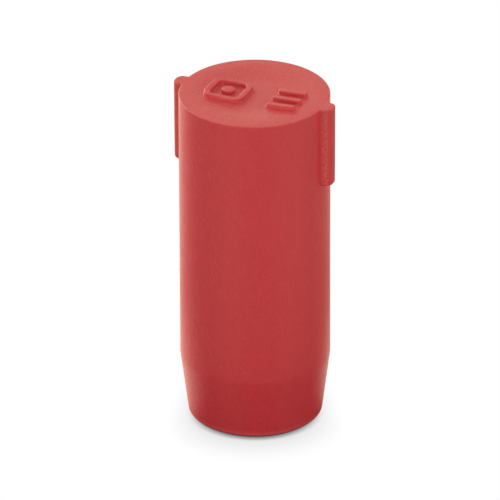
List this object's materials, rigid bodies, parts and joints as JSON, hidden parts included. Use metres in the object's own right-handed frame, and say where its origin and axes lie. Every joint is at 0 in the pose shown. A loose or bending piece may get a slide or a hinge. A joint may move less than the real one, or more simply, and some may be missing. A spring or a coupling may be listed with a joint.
{
  "type": "sealing plug",
  "caption": "Straight round push-in plug for an 8 mm hole, tapered at its lower end, with opposite stop ribs at its upper end and raised figures on its top face.",
  "frame": {"origin": "centre of the bottom face, at the tapered end", "axes": "+Z along the plug's axis towards the face with the raised figures; the two stop ribs lie along +X and -X"},
  "size_m": [0.009, 0.008, 0.0189],
  "materials": {
    "red_plastic": "matte"
  },
  "bodies": {
    "root": {"sealing_plug": "red_plastic"}
  },
  "joints": []
}
